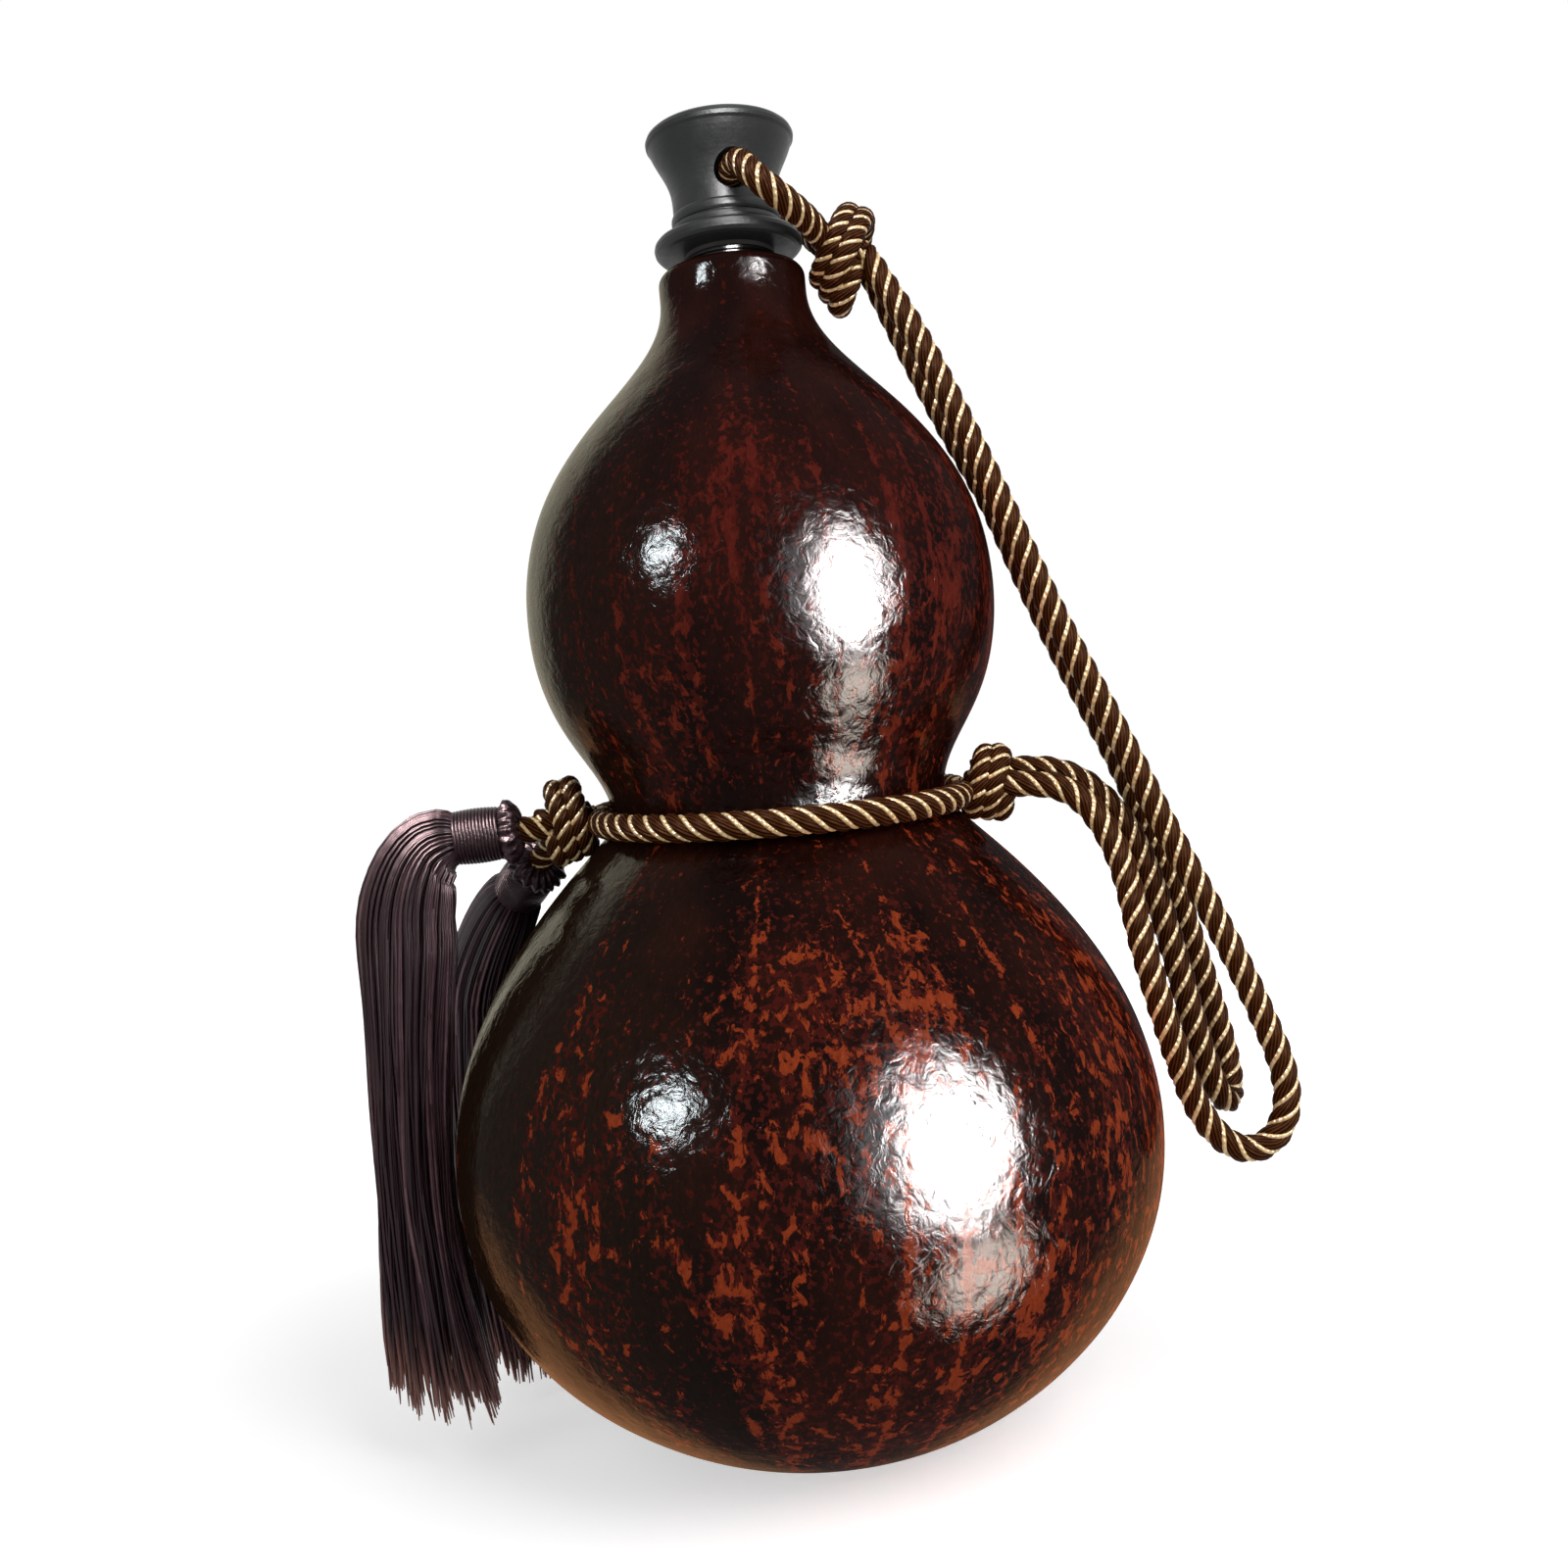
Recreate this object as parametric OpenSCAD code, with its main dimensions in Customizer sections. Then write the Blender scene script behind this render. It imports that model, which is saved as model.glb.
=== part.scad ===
// Gourd water bottle: a dried two-bellied gourd with a glued mouth sleeve, a
// push-in stopper, and a doubled cord that is tied round the waist and ends in
// two tassels. Millimetres, +Z up, origin at the middle of the flat base.
// The photographed side faces -Y, and the tassels hang on the -X side.

/* [Gourd] */
// Radius of the flat that the gourd stands on
base_r = 24; // [20:0.5:28]
// Radius of the lower belly
belly_r = 67.5; // [64:0.5:70]
// Height of the lower belly's widest ring
belly_z = 54.3; // [50:0.1:58]
// Radius of the waist
waist_r = 32.2; // [30:0.1:34]
// Height of the waist
waist_z = 118; // [116:0.5:120]
// Radius of the upper belly
crown_r = 45.3; // [43:0.1:46.5]
// Height of the upper belly's widest ring
crown_z = 157.7; // [155:0.1:160]
// Radius of the straight neck
neck_r = 14.3; // [13.6:0.1:14.8]
// Height at which the neck becomes straight
neck_z = 218; // [216:0.5:220]
// Length of the straight neck, up to the rounded lip
neck_len = 2.8; // [2.4:0.1:4]
// Height and width of the rounded lip
lip_h = 2; // [1.5:0.1:2.4]
// Thickness of the dried shell
shell_t = 4.5; // [3.5:0.1:5]
// Thickness of the wax that lines the shell
lining_t = 0.8; // [0.5:0.1:1.2]
// Radius of the blossom scar under the base
scar_r = 9; // [6:0.5:12]
// Depth of the blossom scar
scar_depth = 1.4; // [0.8:0.1:2]

/* [Mouth sleeve] */
// Radius of the stopper's seat in the sleeve
bore_r = 6.6; // [6:0.1:6.8]
// Wall of the sleeve at its gripping ribs
sleeve_t = 2.4; // [2.2:0.1:2.6]
// Depth of the sleeve inside the neck
sleeve_len = 20; // [18:0.5:24]
// Height of the collar that shows above the gourd
collar_h = 2.6; // [2:0.1:3.2]
// Number of gripping ribs round the sleeve
sleeve_ribs = 5; // [3:1:6]

/* [Stopper] */
// Radius of the stopper's flange
flange_r = 14.5; // [13.5:0.1:14.6]
// Thickness of the flange
flange_t = 3.2; // [2.6:0.1:3.6]
// Radius of the narrow part of the head
trunk_r = 10.2; // [9.6:0.1:10.8]
// Radius of the flared top
head_r = 14.5; // [13.5:0.1:15.5]
// Height of the head above the flange
head_h = 20.5; // [19:0.1:22]
// Height of the rounded rim at the top
rim_h = 2.4; // [2:0.1:3]
// Length of the plug below the gasket
plug_len = 24; // [21:0.5:26]
// Radial clearance of the plug in the sleeve
plug_gap = 0.1; // [0.05:0.01:0.2]
// Thickness of the gasket under the flange
gasket_t = 0.9; // [0.6:0.1:1.2]
// Radius of the section of each sealing ring
ring_r = 0.65; // [0.55:0.05:0.75]
// Height of the cord hole above the flange
hole_up = 9.7; // [9.4:0.1:10.4]
// Direction of the cord hole, in degrees from straight ahead
hole_turn = 12; // [8:1:15]

/* [Cord] */
// Diameter of the twisted cord
cord_d = 6.5; // [6:0.1:6.8]
// Clearance between the cord and what it lies on
cord_gap = 0.3; // [0.2:0.05:0.5]
// Radius of the cord where a knot squeezes it
wrap_r = 2.9; // [2.7:0.05:3.1]
// How much lower the waist cord runs in front than at its sides
waist_dip = 3; // [1:0.5:4]

/* [Tassels] */
// Radius of a tassel's bound head
head_bind_r = 5.1; // [4.6:0.1:5.5]
// Length of the bound head
head_bind_len = 12.5; // [11:0.5:13.5]
// Half thickness of the skirt of threads where it leaves its head
skirt_top_r = 9.2; // [8:0.1:9.6]
// Half thickness of the skirt beside the lower belly
skirt_mid_r = 6.8; // [6:0.1:7]
// Half thickness of the skirt at its foot
skirt_foot_r = 11; // [9:0.5:11.5]
// Half width of the skirt round the bottle
skirt_half_w = 7.4; // [6.5:0.1:7.6]
// Height of the tassel ends above the base
skirt_foot = 8; // [5:0.5:14]

/* [Hidden] */

round_fn = 96;
fit = 0.05;                                  // gap between pieces that are glued or seated
mouth_z = neck_z + neck_len + lip_h;         // cut rim of the gourd
sleeve_r = bore_r + sleeve_t;                // outside of the gripping ribs
collar_z = mouth_z + collar_h;               // top face of the sleeve
flange_z = collar_z + gasket_t;              // underside of the flange
head_z = flange_z + flange_t;                // foot of the head
top_z = head_z + head_h;                     // top of the stopper
plug_r = bore_r - plug_gap;
hole_z = head_z + hole_up;
cord_r = cord_d / 2;
hole_r = cord_r + cord_gap + fit;
spigot_h = 4.6;                              // height of the plug's spigot in the head
spigot_r = plug_r - 2;                       // radius of that spigot
plug_wall = 2.6;                             // wall round the plug's hollow
shade = [0.20, 0.06, 0.04];                  // lacquered gourd
black = [0.07, 0.07, 0.075];
gloss = [0.03, 0.035, 0.03];
cord_colour = [0.28, 0.15, 0.06];
plum = [0.17, 0.09, 0.11];

// One cubic curve from p0 to p3 with handles p1 and p2, without its last point
function curve(p0, p1, p2, p3, steps) = [for (i = [0:steps - 1]) let (t = i / steps, u = 1 - t)
    u*u*u*p0 + 3*u*u*t*p1 + 3*u*t*t*p2 + t*t*t*p3];

// Share of each stretch's height that its curve leaves each widest or narrowest ring along
belly_low = 0.72;
belly_high = 0.585;
waist_low = 0.06;
waist_high = 0.3;
crown_low = 0.6;
crown_high = 0.576;
neck_low = 0.295;
base_run = 4;

// Outside of the gourd as points of radius and height, from the base's edge to the neck
gourd_line = concat(
    curve([base_r, 0], [base_r + base_run, 0],
        [belly_r, belly_z * (1 - belly_low)], [belly_r, belly_z], 14),
    curve([belly_r, belly_z], [belly_r, belly_z + (waist_z - belly_z) * belly_high],
        [waist_r, waist_z - (waist_z - belly_z) * waist_low], [waist_r, waist_z], 18),
    curve([waist_r, waist_z], [waist_r, waist_z + (crown_z - waist_z) * waist_high],
        [crown_r, crown_z - (crown_z - waist_z) * crown_low], [crown_r, crown_z], 14),
    curve([crown_r, crown_z], [crown_r, crown_z + (neck_z - crown_z) * crown_high],
        [neck_r, neck_z - (neck_z - crown_z) * neck_low], [neck_r, neck_z], 18),
    [[neck_r, neck_z]]);

// The gourd's line moved inwards by a distance, along its normals, from the floor to the sleeve's foot
floor_top = shell_t + lining_t + 1;
sleeve_foot = mouth_z - sleeve_len;
function moved_in(i, away) = let (d = gourd_line[i + 1] - gourd_line[i - 1])
    gourd_line[i] + away * [-d[1], d[0]] / norm(d);
function inner_line(away) = [for (i = [1:len(gourd_line) - 2])
    let (deepest = moved_in(i, floor_top)) if (deepest[1] > floor_top && deepest[1] < sleeve_foot - 1.5)
    moved_in(i, away)];

// Radius at which a round cord clears the gourd at a height
function clear_of_gourd(z, reach) = max([for (p = gourd_line)
    if (abs(p[1] - z) < reach) p[0] + sqrt(reach*reach - (p[1] - z) * (p[1] - z))]);

function unit(v) = v / norm(v);

// Direction of a path at one of its points, round and round if it is closed
function tangent(path, i, closed) = let (n = len(path))
    closed ? unit(path[(i + 1) % n] - path[(i + n - 1) % n])
    : unit(path[min(i + 1, n - 1)] - path[max(i - 1, 0)]);

// A tube along a path. wide and deep are its half sizes at each point, deep square to the
// direction level, and flute is the share that its grooves are cut in.
module sweep(path, wide, deep, level, sides, flute = 0, closed = false) {
    n = len(path);
    points = [for (i = [0:n - 1])
        let (t = tangent(path, i, closed), a = unit(cross(level, t)), b = cross(t, a))
        for (k = [0:sides - 1])
            let (q = 360 * k / sides, f = 1 - flute * (k % 2))
            path[i] + f * (wide[i] * cos(q) * b + deep[i] * sin(q) * a)];
    walls = [for (i = [0:n - (closed ? 1 : 2)], k = [0:sides - 1])
        let (j = (i + 1) % n, a = i * sides + k, b = i * sides + (k + 1) % sides,
            c = j * sides + k, d = j * sides + (k + 1) % sides)
        each [[a, b, d], [a, d, c]]];
    first = [for (k = [0:sides - 1]) [n * sides, (k + 1) % sides, k]];
    last = [for (k = [0:sides - 1])
        [n * sides + 1, (n - 1) * sides + k, (n - 1) * sides + (k + 1) % sides]];
    if (closed) polyhedron(points, walls, convexity = 6);
    else polyhedron(concat(points, [path[0], path[n - 1]]), concat(walls, first, last), convexity = 6);
}

module cord_tube(path, level, sides = 10) {
    r = [for (p = path) cord_r];
    color(cord_colour) sweep(path, r, r, level, sides);
}

module gourd_shell() {
    inside = inner_line(shell_t);
    seat_r = sleeve_r + fit;
    outline = concat([[0, 0]], gourd_line, [[neck_r, neck_z + neck_len]],
        [for (a = [15:15:90]) [neck_r - lip_h + lip_h * cos(a), neck_z + neck_len + lip_h * sin(a)]],
        [[seat_r, mouth_z], [seat_r, sleeve_foot - 1]],
        [for (i = [len(inside) - 1:-1:0]) inside[i]],
        [[0, shell_t]]);
    color(shade) difference() {
        rotate_extrude($fn = round_fn) polygon(outline);
        translate([0, 0, -fit]) cylinder(r1 = scar_r, r2 = scar_r / 2, h = scar_depth + fit, $fn = 48);
    }
}

module wax_lining() {
    outer = inner_line(shell_t + fit);
    inner = inner_line(shell_t + fit + lining_t);
    floor_z = shell_t + fit;
    color([0.75, 0.6, 0.3]) rotate_extrude($fn = round_fn) polygon(concat(
        [[0, floor_z]], outer,
        [for (i = [len(inner) - 1:-1:0]) inner[i]],
        [[0, floor_z + lining_t]]));
}

module mouth_sleeve() {
    pitch = sleeve_len / sleeve_ribs;
    rib_depth = 0.5;
    bead = 0.6;
    barbs = [for (i = [0:sleeve_ribs - 1]) each [
        [sleeve_r - rib_depth, sleeve_foot + pitch * i],
        [sleeve_r, sleeve_foot + pitch * (i + 0.6)],
        [sleeve_r - rib_depth, sleeve_foot + pitch * (i + 0.6)]]];
    color(gloss) rotate_extrude($fn = round_fn) polygon(concat(
        [[bore_r, sleeve_foot]], barbs,
        [[sleeve_r - rib_depth, mouth_z + fit], [sleeve_r + bead, mouth_z + fit],
            [sleeve_r + bead, mouth_z + bead], [sleeve_r, mouth_z + bead + 0.2],
            [sleeve_r, collar_z - 1.1], [sleeve_r + bead / 2, collar_z - 0.8],
            [sleeve_r + bead / 2, collar_z - 0.3], [sleeve_r, collar_z],
            [bore_r + 0.4, collar_z], [bore_r, collar_z - 0.4]]));
}

module stopper_head() {
    edge = flange_t * 0.4;
    flare = curve([trunk_r, head_z + 7], [trunk_r, head_z + 12],
        [head_r - 1.9, top_z - rim_h - 4], [head_r - 0.5, top_z - rim_h], 12);
    // height above the flange, width and depth of the two round beads turned at the head's foot
    beads = [for (b = [[0.1, 2.3, 1], [2.5, 2.2, 0.5]], a = [-90:30:90])
        [trunk_r + b[2] * cos(a), head_z + b[0] + b[1] / 2 * (1 + sin(a))]];
    color(black) difference() {
        rotate_extrude($fn = round_fn) polygon(concat(
            [[0, flange_z + fit], [flange_r - edge, flange_z + fit]],
            [for (a = [-60:30:60]) [flange_r - edge + edge * cos(a),
                flange_z + flange_t / 2 + edge * 1.15 * sin(a)]],
            [[trunk_r + 0.9, head_z - 0.3]], beads, [[trunk_r, head_z + 5]], flare,
            [[head_r - 0.5, top_z - rim_h], [head_r - 0.1, top_z - rim_h + 0.5],
                [head_r, top_z - 1.2], [head_r - 0.3, top_z - 0.5], [head_r - 0.9, top_z],
                [head_r - 2.2, top_z], [head_r - 3.2, top_z - 1.2], [0, top_z - 1.6]]));
        // cord hole
        translate([0, 0, hole_z]) rotate([90, 0, hole_turn])
            cylinder(r = hole_r, h = 4 * head_r, center = true, $fn = 48);
        // socket for the plug's spigot
        translate([0, 0, flange_z]) cylinder(r = spigot_r + fit, h = spigot_h + fit, $fn = 48);
    }
}

module stopper_plug() {
    groove_r = plug_r - 2 * ring_r;
    tip = 1.2;
    bore = plug_r - plug_wall;
    foot_z = flange_z - plug_len;
    function groove(z) = [[plug_r, z - ring_r - 0.3], [groove_r, z - ring_r - 0.3],
        [groove_r, z + ring_r + 0.3], [plug_r, z + ring_r + 0.3]];
    color(gloss) rotate_extrude($fn = round_fn) polygon(concat(
        [[bore, foot_z], [plug_r - tip, foot_z], [plug_r, foot_z + 2 * tip]],
        groove(seal_z(1)), groove(seal_z(0)),
        [[plug_r, flange_z], [spigot_r, flange_z], [spigot_r, flange_z + spigot_h - 0.4],
            [spigot_r - 0.4, flange_z + spigot_h], [0, flange_z + spigot_h],
            [0, flange_z - 2], [bore, flange_z - 2]]));
}

function seal_z(i) = flange_z - 8 - 7 * i;

module seal_ring(i) {
    color([0.35, 0.3, 0.28]) translate([0, 0, seal_z(i)])
        rotate_extrude($fn = round_fn) translate([plug_r - ring_r + fit / 2, 0])
        circle(r = ring_r - fit / 2, $fn = 24);
}
module upper_seal_ring() seal_ring(0);
module lower_seal_ring() seal_ring(1);

module flange_gasket() {
    color([0.12, 0.12, 0.12]) translate([0, 0, collar_z + fit]) difference() {
        cylinder(r = sleeve_r - 0.2, h = gasket_t - fit, $fn = round_fn);
        translate([0, 0, -1]) cylinder(r = plug_r + fit, h = gasket_t + 2, $fn = round_fn);
    }
}

// One closed turn of cord round a knot, an oval of half sizes tall and deep, its middle down and along
module knot_wrap(along, down, tall, deep) {
    a = tall - wrap_r;
    b = deep - wrap_r;
    steps = 16;
    loop = [for (i = [0:steps - 1]) let (q = 360 * i / steps) [down + a * cos(q), b * sin(q), along]];
    r = [for (p = loop) wrap_r];
    sweep(loop, r, r, [0, 0, 1], 8, closed = true);
}

// A tied knot along +Z: turns of cord over the strands that pass through it.
// wraps holds each turn's half height and how far down it sits.
function knot_len(wraps) = 2 * wrap_r * len(wraps);
module tied_knot(wraps, deep) {
    core = min([for (w = wraps) w[0] - abs(w[1])]) - wrap_r * 0.8;
    core_deep = deep - wrap_r * 0.8;
    color(cord_colour) {
        linear_extrude(knot_len(wraps))
            polygon([for (q = [0:20:340]) [core * cos(q), core_deep * sin(q)]]);
        for (i = [0:len(wraps) - 1])
            knot_wrap(wrap_r * (2 * i + 1), wraps[i][1], wraps[i][0], deep);
    }
}

// Knot under the stopper: the middle of its near face, and the tilt of its length below level
stop_knot_at = [17.4, 0, 225.9];
stop_knot_tilt = 16;
stop_wraps = [[8.8, -1.2], [10.8, 1.4]];
stop_knot_deep = 9.3;
module stopper_knot() translate(stop_knot_at) rotate([0, 90 + stop_knot_tilt, 0])
    tied_knot(stop_wraps, stop_knot_deep);

// Cord through the stopper's hole, from the knot's near face, in front of the head and behind it
loop_front = [[18.4, -5, 226], [16.4, -9.4, 227], [14, -13.6, 228.2], [11.2, -17, 229.6],
    [8.6, -18.8, 231.4], [6, -18.6, 234], [4, -16.2, 237.4]];
loop_rear = [[-2.8, 16, 239], [-0.8, 18.8, 239.2], [4, 20, 239], [9, 18.6, 238.2], [13.6, 15, 236.4],
    [16.6, 10.5, 233.2], [18.3, 5.6, 229]];
hole_run = 12.5;                             // straight run of the cord each way from the hole's middle
module stopper_cord_loop() {
    out = [sin(hole_turn), -cos(hole_turn), 0];
    mid = [0, 0, hole_z];
    cord_tube(concat(loop_front, [mid + hole_run * out, mid, mid - hole_run * out], loop_rear), [0, 0, 1]);
}

// The two strands of the carrying strap, from the stopper's knot down, round and up to the waist
outer_route = [[29.6, -3.7, 216.2], [32.4, -4.6, 210.5], [36.4, -5.8, 201], [41, -6.6, 189],
    [46, -7.4, 175.5], [51, -8, 161.5], [56, -8, 148], [61.5, -8, 135], [67, -8, 122], [72, -8.5, 109],
    [77.5, -10, 95.5], [82.5, -11.5, 82.5], [87, -12, 69.5], [89.8, -12, 59], [88.6, -12, 50.4],
    [83, -12.4, 46],
    [77, -13, 48.4], [72, -14, 56], [67.2, -17, 72], [64.2, -16, 88], [62.5, -13, 103],
    [57.5, -10, 114.5], [52, -8.6, 118], [46, -7.6, 118.6]];
inner_route = [[29.8, 3.5, 215.8], [31.8, 3.4, 210.5], [35.4, 2.8, 201], [40.4, 2, 188.5], [46.4, 1.2, 175],
    [50.8, 0, 161.5], [55.8, 0, 148], [61, 0, 135], [66.5, 0.4, 122], [71, 1.5, 109.5],
    [75.5, 3, 97], [79, 4.5, 84], [81.8, 5, 71.5], [83.4, 3.6, 60.6], [82.4, -0.4, 53.4],
    [79.4, -4.6, 54.6], [76.4, -6.6, 62], [73.6, -7, 76], [71, -6.2, 91], [67, -4, 107],
    [60, -2, 117.4], [53, -1.8, 121], [46, -2, 121.4]];
module outer_strap_cord() cord_tube(outer_route, [0, 1, 0]);
module inner_strap_cord() cord_tube(inner_route, [0, 1, 0]);

// Knots at the two sides of the waist, each with the cord's doubled turns
strap_knot_turn = -6;
tassel_knot_turn = 184;
knot_lift = 1.6;
strap_wraps = [[7.4, 0], [7.6, 0.4]];
tassel_wraps = [[8.2, -0.6], [8.6, 0.8]];
waist_knot_deep = 6.3;
knot_start = waist_r + cord_gap + wrap_r + 0.5;
module waist_knot(turn, wraps) rotate(turn) translate([knot_start, 0, waist_z + knot_lift])
    rotate([0, 90, 0]) tied_knot(wraps, waist_knot_deep);
module strap_knot() waist_knot(strap_knot_turn, strap_wraps);
module tassel_knot() waist_knot(tassel_knot_turn, tassel_wraps);

// Cord round the waist, between those knots, in front and behind
knot_half = asin((waist_knot_deep + cord_gap) / (waist_r + cord_r));
function waist_height(a) = waist_z + 0.8 + waist_dip * (sin(a) - 0.1 * cos(a));
function waist_point(a, chord) =
    let (z = waist_height(a), r = clear_of_gourd(z, cord_r + cord_gap) / cos(chord / 2))
    [r * cos(a), r * sin(a), z];
module waist_half(from, to, steps = 9) {
    turn = (to - from) / steps;
    cord_tube([for (i = [0:steps]) waist_point(from + turn * i, turn)], [0, 0, 1]);
}
module waist_cord_front() waist_half(strap_knot_turn - knot_half, tassel_knot_turn - 360 + knot_half);
module waist_cord_rear() waist_half(strap_knot_turn + knot_half, tassel_knot_turn - knot_half);

// A tassel is drawn with its cord leaving the knot along +X at the origin, and hangs down from there.
// Its values: where it leaves the knot, its turn from straight left, the slope and length of its
// cord, how far out its skirt hangs, and how far down the skirt's shoulder is.
skirt_bow = 2.4;                             // how far the hanging part of a skirt bows outwards
belly_gap = 1.3;                             // gap between a skirt and the lower belly
front_exit = [-47.6, -5.4, 118.4];
rear_exit = [-45.7, 2.6, 114.2];
front_turn = 3;
rear_turn = -52;

// How far from a point, in a direction, a skirt clears the lower belly
function reach(from, turn) = let (way = -[cos(turn), sin(turn)], start = [from[0], from[1]],
        out = start * way, ring = belly_r + skirt_mid_r + belly_gap - skirt_bow)
    sqrt(out * out + ring * ring - start * start) - out;

front_tassel = [front_exit, front_turn, 2, 2.2, reach(front_exit, front_turn), 20];
rear_tassel = [rear_exit, rear_turn, 30, 4.5, reach(rear_exit, rear_turn) + 1, 34];
function head_at(t) = t[3] * [cos(t[2]), 0, -sin(t[2])];
function head_end(t) = (t[3] + head_bind_len) * [cos(t[2]), 0, -sin(t[2])];
module place(t) translate(t[0]) rotate(180 + t[1]) children();
module on_head(t) place(t) translate(head_at(t)) rotate([0, 90 + t[2], 0]) children();

// Centreline of a skirt: straight out of its head, over the shoulder, then down along the belly
shoulder = 9;                                // points from the head to the shoulder
down = 10;                                   // steps from the shoulder to the foot
function fall(t) = let (drop = t[0][2] - skirt_foot, way = [cos(t[2]), 0, -sin(t[2])],
        start = head_end(t), over = start + way)
    concat([start + fit * way],
        curve(over, over + 6 * way, [t[4], 0, 10 - t[5]], [t[4], 0, -t[5]], shoulder - 1),
        [for (i = [0:down]) let (s = i / down)
            [t[4] + skirt_bow * sin(180 * s), 0, -t[5] - (drop - t[5]) * s]]);

module skirt(t) {
    path = fall(t);
    deep = [for (i = [0:len(path) - 1]) let (a = min(i / shoulder, 1), s = (i - shoulder) / down)
        i < shoulder ? head_bind_r + (skirt_top_r - head_bind_r) * sin(90 * a)
        : s < 0.5 ? skirt_top_r - (skirt_top_r - skirt_mid_r) * sin(180 * s)
        : skirt_mid_r + (skirt_foot_r - skirt_mid_r) * pow(2 * s - 1, 1.5)];
    wide = [for (i = [0:len(path) - 1])
        head_bind_r + (skirt_half_w - head_bind_r) * sin(90 * min(i / shoulder, 1))];
    color(plum) place(t) sweep(path, wide, deep, [0, 1, 0], 18, 0.08);
}

// Gathered threads over the end of the cord, and the thread bound round them
cap_len = 4;
module tassel_cap() {
    color(plum) rotate_extrude($fn = 48) polygon([[0, 0], [3.4, 0],
        [head_bind_r + 0.5, 0.9], [head_bind_r + 0.7, 2],
        [head_bind_r - 0.4, cap_len - 0.4], [head_bind_r - 0.6, cap_len], [0, cap_len]]);
}
module tassel_binding() {
    turns = 9;
    pitch = (head_bind_len - cap_len) / turns;
    color(plum) rotate_extrude($fn = 48) polygon(concat([[0, cap_len]],
        [for (i = [0:turns - 1]) each [
            [head_bind_r - 0.2, cap_len + pitch * i],
            [head_bind_r, cap_len + pitch * (i + 0.3)],
            [head_bind_r, cap_len + pitch * (i + 0.7)]]],
        [[head_bind_r - 0.2, head_bind_len], [0, head_bind_len]]));
}

// Short end of the cord between a knot and its tassel
module tassel_cord(t) color(cord_colour) place(t) rotate([0, 90 + t[2], 0])
    cylinder(r = cord_r, h = t[3], $fn = 32);

module front_tassel_cord() tassel_cord(front_tassel);
module front_tassel_cap() on_head(front_tassel) tassel_cap();
module front_tassel_binding() on_head(front_tassel) tassel_binding();
module front_tassel_skirt() skirt(front_tassel);
module rear_tassel_cord() tassel_cord(rear_tassel);
module rear_tassel_cap() on_head(rear_tassel) tassel_cap();
module rear_tassel_binding() on_head(rear_tassel) tassel_binding();
module rear_tassel_skirt() skirt(rear_tassel);

gourd_shell();
wax_lining();
mouth_sleeve();
stopper_head();
stopper_plug();
flange_gasket();
upper_seal_ring();
lower_seal_ring();
stopper_cord_loop();
stopper_knot();
outer_strap_cord();
inner_strap_cord();
waist_cord_front();
waist_cord_rear();
strap_knot();
tassel_knot();
front_tassel_cord();
front_tassel_cap();
front_tassel_binding();
front_tassel_skirt();
rear_tassel_cord();
rear_tassel_cap();
rear_tassel_binding();
rear_tassel_skirt();
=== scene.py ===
import math
import random

import bpy
from mathutils import Matrix, Vector, noise


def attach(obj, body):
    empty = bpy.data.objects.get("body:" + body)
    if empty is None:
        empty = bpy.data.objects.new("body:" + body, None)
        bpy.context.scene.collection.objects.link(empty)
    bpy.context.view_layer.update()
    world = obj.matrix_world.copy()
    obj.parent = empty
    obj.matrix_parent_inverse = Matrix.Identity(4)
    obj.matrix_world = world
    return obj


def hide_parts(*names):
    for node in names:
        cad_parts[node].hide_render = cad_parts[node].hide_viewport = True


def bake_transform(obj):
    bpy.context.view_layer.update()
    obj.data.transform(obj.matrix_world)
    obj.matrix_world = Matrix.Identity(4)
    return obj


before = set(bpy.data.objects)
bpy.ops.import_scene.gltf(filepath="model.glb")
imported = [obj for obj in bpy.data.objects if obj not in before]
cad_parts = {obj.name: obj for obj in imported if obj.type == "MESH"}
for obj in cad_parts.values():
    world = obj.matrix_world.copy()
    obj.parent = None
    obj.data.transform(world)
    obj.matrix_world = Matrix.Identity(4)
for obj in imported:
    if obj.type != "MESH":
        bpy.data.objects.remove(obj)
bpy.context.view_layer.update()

TAU = 2 * math.pi
UP = Vector((0, 0, 1))


# Camera: its place and angles, and the focal length in pixels of the square picture

EYE = Vector((0.0, -0.300, 0.120))
YAW, PITCH, ROLL = (math.radians(angle) for angle in (0.244, -0.4995, -5.195))
FOCAL_PX = 1571.8
PICTURE_PX = 1600
SENSOR_MM = 36


def add_camera():
    data = bpy.data.cameras.new("camera")
    data.sensor_width = SENSOR_MM
    data.lens = SENSOR_MM * FOCAL_PX / PICTURE_PX
    data.clip_start = 0.01
    camera = bpy.data.objects.new("camera", data)
    bpy.context.collection.objects.link(camera)
    ahead = Vector((math.sin(YAW) * math.cos(PITCH), math.cos(YAW) * math.cos(PITCH), -math.sin(PITCH)))
    right = ahead.cross(UP).normalized()
    over = right.cross(ahead)
    across = math.cos(ROLL) * right + math.sin(ROLL) * over
    upward = math.cos(ROLL) * over - math.sin(ROLL) * right
    camera.matrix_world = Matrix.Translation(EYE) @ Matrix((across, upward, -ahead)).transposed().to_4x4()
    bpy.context.scene.camera = camera


# Paths and tubes

SPLINE_STEPS = 24


def bezier(p0, p1, p2, p3, steps):
    """Points of one cubic curve, without its last point."""
    points = []
    for i in range(steps):
        t = i / steps
        u = 1 - t
        points.append(u ** 3 * p0 + 3 * u * u * t * p1 + 3 * u * t * t * p2 + t ** 3 * p3)
    return points


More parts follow.
